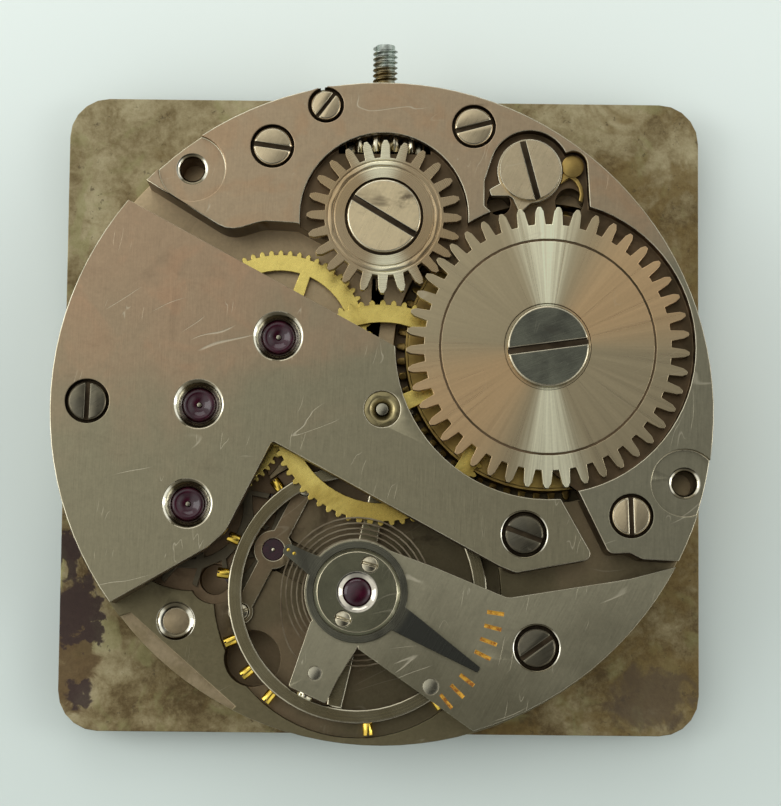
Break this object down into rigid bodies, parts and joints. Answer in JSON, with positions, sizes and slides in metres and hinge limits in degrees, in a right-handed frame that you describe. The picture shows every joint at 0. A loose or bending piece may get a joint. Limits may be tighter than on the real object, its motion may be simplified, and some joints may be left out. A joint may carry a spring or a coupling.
{
  "type": "mechanical watch movement",
  "caption": "Hand-wound mechanical watch movement on a square dial, seen from the bridge side, with winding wheels, going train, screwed balance, regulator and winding stem.",
  "frame": {"origin": "on the axis of the hour and minute hands, in the plane of the dial's front face", "axes": "+Z from the dial towards the bridges, +Y out along the winding stem, +X to the right of the stem seen from the bridge side"},
  "size_m": [0.0237, 0.0253, 0.0056],
  "materials": {
    "nickel": "nickel plated, fine straight brushing and bright bevelled edges",
    "dial_back": "bare tarnished dial blank",
    "steel": "polished steel",
    "dark_steel": "dark tempered steel",
    "brass": "gilt brass",
    "ruby": "polished synthetic ruby",
    "balance_alloy": "satin nickel silver",
    "spring_blue": "blued spring steel"
  },
  "bodies": {
    "frame": {"main_plate": "nickel", "dial": "dial_back", "dial_foot_screws": "steel", "barrel_bridge": "nickel", "train_bridge": "nickel", "balance_cock": "nickel", "pallet_bridge": "nickel", "bridge_screws": "steel", "small_screws": "steel", "plate_pins": "steel", "crown_wheel_core": "steel", "crown_wheel_screw": "steel", "click_spring": "brass", "click_screw": "steel", "centre_bushes": "brass", "train_jewels": "ruby", "stud": "steel", "hairspring": "spring_blue", "end_piece": "steel", "balance_jewels": "ruby", "lower_end_plate": "steel", "setting_lever_screw": "steel", "yoke_spring": "steel", "setting_lever_spring": "steel"},
    "barrel": {"barrel_drum": "brass", "barrel_cover": "brass", "mainspring": "spring_blue"},
    "ratchet": {"barrel_arbor": "steel", "ratchet_wheel": "steel", "ratchet_screw": "dark_steel"},
    "crown": {"crown_wheel": "steel"},
    "click": {"click": "steel"},
    "centre": {"centre_wheel": "brass", "centre_arbor": "steel", "cannon_pinion": "steel"},
    "third": {"third_wheel": "brass", "third_arbor": "steel"},
    "fourth": {"fourth_wheel": "brass", "fourth_arbor": "steel"},
    "escape": {"escape_wheel": "steel", "escape_arbor": "steel"},
    "pallets": {"pallet_fork": "steel", "pallet_stones": "ruby", "pallet_arbor": "steel"},
    "balance": {"balance_wheel": "balance_alloy", "balance_screws": "brass", "balance_staff": "steel", "roller_table": "steel", "roller_jewel": "ruby", "collet": "brass"},
    "regulator": {"regulator": "dark_steel", "curb_pins": "brass"},
    "winding_pinion": {"winding_pinion": "steel"},
    "stem": {"winding_stem": "steel"},
    "sliding_pinion": {"sliding_pinion": "steel"},
    "setting_lever": {"setting_lever": "steel"},
    "yoke": {"yoke": "steel"},
    "setting_wheel": {"setting_wheel": "steel"},
    "minute_wheel": {"minute_wheel": "brass"},
    "hour_wheel": {"hour_wheel": "brass"}
  },
  "joints": [
    {"name": "fourth_turn", "type": "hinge", "parent": "frame", "child": "fourth", "pos_m": [-0.00647, 0.00011, 0.0022], "axis": [0, 0, 1], "continuous": true},
    {"name": "escape_turn", "type": "hinge", "parent": "frame", "child": "escape", "pos_m": [-0.00681, -0.0034, 0.0022], "axis": [0, 0, 1], "continuous": true},
    {"name": "third_turn", "type": "hinge", "parent": "frame", "child": "third", "pos_m": [-0.0037, 0.00255, 0.0022], "axis": [0, 0, 1], "continuous": true},
    {"name": "centre_turn", "type": "hinge", "parent": "frame", "child": "centre", "pos_m": [0, 0, 0.0022], "axis": [0, 0, 1], "continuous": true},
    {"name": "barrel_turn", "type": "hinge", "parent": "frame", "child": "barrel", "pos_m": [0.00585, 0.00229, 0.0022], "axis": [0, 0, 1], "continuous": true},
    {"name": "minute_turn", "type": "hinge", "parent": "frame", "child": "minute_wheel", "pos_m": [-0.00031, 0.00238, 0.0022], "axis": [0, 0, 1], "continuous": true},
    {"name": "hour_turn", "type": "hinge", "parent": "frame", "child": "hour_wheel", "pos_m": [0, 0, 0.0022], "axis": [0, 0, 1], "continuous": true},
    {"name": "setting_turn", "type": "hinge", "parent": "frame", "child": "setting_wheel", "pos_m": [-0.00073, 0.00565, 0.0022], "axis": [0, 0, 1], "continuous": true},
    {"name": "ratchet_turn", "type": "hinge", "parent": "frame", "child": "ratchet", "pos_m": [0.00585, 0.00229, 0.0022], "axis": [0, 0, 1], "continuous": true},
    {"name": "crown_turn", "type": "hinge", "parent": "frame", "child": "crown", "pos_m": [0, 0.00689, 0.0039], "axis": [0, 0, 1], "continuous": true},
    {"name": "winding_turn", "type": "hinge", "parent": "frame", "child": "winding_pinion", "pos_m": [0, 0, 0.0022], "axis": [0, 1, 0], "continuous": true},
    {"name": "stem_pull", "type": "slide", "parent": "winding_pinion", "child": "stem", "axis": [0, 1, 0], "range_m": [0, 0.0008]},
    {"name": "sliding_pinion_slide", "type": "slide", "parent": "winding_pinion", "child": "sliding_pinion", "axis": [0, 1, 0], "range_m": [-0.00065, 0]},
    {"name": "setting_lever_turn", "type": "hinge", "parent": "frame", "child": "setting_lever", "pos_m": [-0.00211, 0.01087, 0.0013], "axis": [0, 0, 1], "range_deg": [0, 21.8]},
    {"name": "yoke_turn", "type": "hinge", "parent": "frame", "child": "yoke", "pos_m": [-0.0036, 0.0082, 0.0013], "axis": [0, 0, 1], "range_deg": [-10.4, 0]},
    {"name": "click_turn", "type": "hinge", "parent": "frame", "child": "click", "pos_m": [0.00518, 0.0086, 0.0038], "axis": [0, 0, -1], "range_deg": [0, 14], "stiffness_Nm_per_rad": 0.000001, "springref_deg": -5.73},
    {"name": "pallet_turn", "type": "hinge", "parent": "frame", "child": "pallets", "pos_m": [-0.00385, -0.00491, 0.0016], "axis": [0, 0, 1], "range_deg": [-5, 5]},
    {"name": "balance_turn", "type": "hinge", "parent": "frame", "child": "balance", "pos_m": [-0.00081, -0.00645, 0.0024], "axis": [0, 0, 1], "range_deg": [-270, 270], "stiffness_Nm_per_rad": 0.000001, "deforming": ["hairspring"]},
    {"name": "regulator_turn", "type": "hinge", "parent": "frame", "child": "regulator", "pos_m": [-0.00081, -0.00645, 0.00428], "axis": [0, 0, 1], "range_deg": [-12, 25]}
  ],
  "couplings": [
    {"joint": "escape_turn", "follows": "fourth_turn", "ratio": -10},
    {"joint": "third_turn", "follows": "fourth_turn", "ratio": -0.13333},
    {"joint": "centre_turn", "follows": "fourth_turn", "ratio": 0.016667},
    {"joint": "barrel_turn", "follows": "fourth_turn", "ratio": -0.0033333},
    {"joint": "minute_turn", "follows": "fourth_turn", "ratio": -0.0055556},
    {"joint": "hour_turn", "follows": "fourth_turn", "ratio": 0.0013889},
    {"joint": "setting_turn", "follows": "fourth_turn", "ratio": 0.0066667},
    {"joint": "crown_turn", "follows": "ratchet_turn", "ratio": -1.875},
    {"joint": "winding_turn", "follows": "ratchet_turn", "ratio": 3.4615},
    {"joint": "sliding_pinion_slide", "follows": "stem_pull", "ratio": -0.8125},
    {"joint": "setting_lever_turn", "follows": "stem_pull", "rad_per_m": 475.6},
    {"joint": "yoke_turn", "follows": "stem_pull", "rad_per_m": -226.9}
  ]
}
